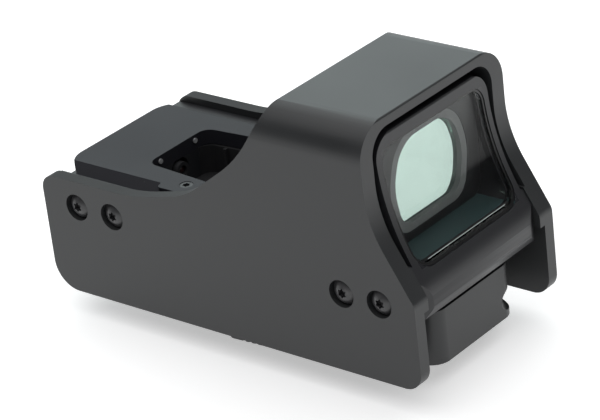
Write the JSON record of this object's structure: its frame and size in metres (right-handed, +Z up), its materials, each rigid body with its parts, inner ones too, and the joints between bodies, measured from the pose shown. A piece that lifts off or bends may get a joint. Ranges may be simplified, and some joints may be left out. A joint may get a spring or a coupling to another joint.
{
  "type": "red dot finder",
  "caption": "Hooded reflex dot finder with a leaning front window, light-well deck, side adjusters, rear buttons and a lever clamp for a cross-slot rail.",
  "frame": {"origin": "under the middle of the whole finder, at the level of the clamp jaws' feet", "axes": "+X to the right as the user looks through it, +Y from the eye end towards the target, +Z up"},
  "size_m": [0.05, 0.105, 0.0636],
  "materials": {
    "hood_shell": "satin black anodised",
    "body_shell": "satin black anodised",
    "deck": "satin black anodised",
    "housing": "satin black anodised",
    "housing_dark": "matte black",
    "ring_pale": "satin",
    "lens_glass": "coated",
    "window_glass": "coated",
    "sealant": "gloss",
    "black_liner": "matte",
    "bright_steel": "satin",
    "black_screw": "black oxide",
    "button_rubber": "matte",
    "cap_metal": "satin black anodised",
    "ring_rubber": "matte",
    "cell_jacket": "gloss",
    "contact_brass": "plated",
    "board_black": "matte",
    "board_green": "solder mask",
    "inner_metal": "black",
    "adjuster_steel": "dark",
    "emitter_plastic": "clear red",
    "foot_metal": "satin black anodised"
  },
  "bodies": {
    "sight_body": {"battery_cell": "cell_jacket", "battery_contact": "contact_brass", "board_components": "board_black", "button_frame": "housing_dark", "button_frame_screws": "black_screw", "clamp_foot": "foot_metal", "control_board": "board_green", "cross_bolt": "bright_steel", "cross_bolt_nut": "adjuster_steel", "deck_plate": "deck", "deck_screws": "black_screw", "foot_screws": "black_screw", "front_window": "window_glass", "hood": "hood_shell", "hood_screws_left": "black_screw", "hood_screws_right": "black_screw", "housing_screws": "black_screw", "jaw_guide_pin": "bright_steel", "lens_cell": "housing_dark", "lens_retainer": "housing_dark", "lens_ring": "ring_pale", "lower_body": "body_shell", "reflector_lens": "lens_glass", "switch_board": "board_green", "switches": "board_black", "well_liner": "black_liner", "well_pins": "bright_steel", "window_housing": "housing", "window_sealant": "sealant"},
    "dimmer_button": {"button_dimmer": "button_rubber"},
    "brighter_button": {"button_brighter": "button_rubber"},
    "cap_ring": {"battery_cap_ring": "ring_rubber"},
    "cap": {"battery_cap": "cap_metal"},
    "elevation_adjuster": {"elevation_screw": "adjuster_steel"},
    "wedge": {"elevation_wedge": "inner_metal"},
    "sled": {"elevation_sled": "inner_metal"},
    "windage_adjuster": {"windage_screw": "adjuster_steel"},
    "emitter_carrier": {"windage_block": "inner_metal", "emitter": "emitter_plastic"},
    "jaw": {"clamp_jaw": "foot_metal"},
    "lever": {"clamp_lever": "foot_metal"}
  },
  "joints": [
    {"name": "dimmer_press", "type": "slide", "parent": "sight_body", "child": "dimmer_button", "axis": [0, 1, 0], "range_m": [0, 0.0006], "stiffness_N_per_m": 400, "springref_m": -0.0004},
    {"name": "brighter_press", "type": "slide", "parent": "sight_body", "child": "brighter_button", "axis": [0, 1, 0], "range_m": [0, 0.0006], "stiffness_N_per_m": 400, "springref_m": -0.0004},
    {"name": "cap_out", "type": "slide", "parent": "sight_body", "child": "cap_ring", "axis": [0, -1, 0], "range_m": [0, 0.002]},
    {"name": "cap_turn", "type": "hinge", "parent": "cap_ring", "child": "cap", "pos_m": [0.0115, -0.05028, 0.0165], "axis": [0, -1, 0], "range_deg": [0, 720]},
    {"name": "elevation_turn", "type": "hinge", "parent": "sight_body", "child": "elevation_adjuster", "pos_m": [-0.02, -0.03598, 0.0187], "axis": [-1, 0, 0], "range_deg": [-720, 720]},
    {"name": "wedge_travel", "type": "slide", "parent": "sight_body", "child": "wedge", "axis": [1, 0, 0], "range_m": [-0.001, 0.001]},
    {"name": "sled_lift", "type": "slide", "parent": "sight_body", "child": "sled", "axis": [0, 0, 1], "range_m": [-0.00025, 0.00025]},
    {"name": "windage_turn", "type": "hinge", "parent": "sled", "child": "windage_adjuster", "pos_m": [-0.02, -0.03598, 0.0262], "axis": [-1, 0, 0], "range_deg": [-360, 360]},
    {"name": "emitter_shift", "type": "slide", "parent": "sled", "child": "emitter_carrier", "axis": [1, 0, 0], "range_m": [-0.0005, 0.0005]},
    {"name": "jaw_slide", "type": "slide", "parent": "sight_body", "child": "jaw", "axis": [1, 0, 0], "range_m": [0, 0.0014]},
    {"name": "lever_turn", "type": "hinge", "parent": "jaw", "child": "lever", "pos_m": [0.018, 0.02687, 0.00625], "axis": [1, 0, 0], "range_deg": [0, 100]}
  ],
  "couplings": [
    {"joint": "cap_turn", "follows": "cap_out", "rad_per_m": 6276.9},
    {"joint": "elevation_turn", "follows": "wedge_travel", "rad_per_m": 12554},
    {"joint": "sled_lift", "follows": "wedge_travel", "ratio": 0.24975},
    {"joint": "windage_turn", "follows": "emitter_shift", "rad_per_m": 12554},
    {"joint": "lever_turn", "follows": "jaw_slide", "rad_per_m": 1246}
  ]
}
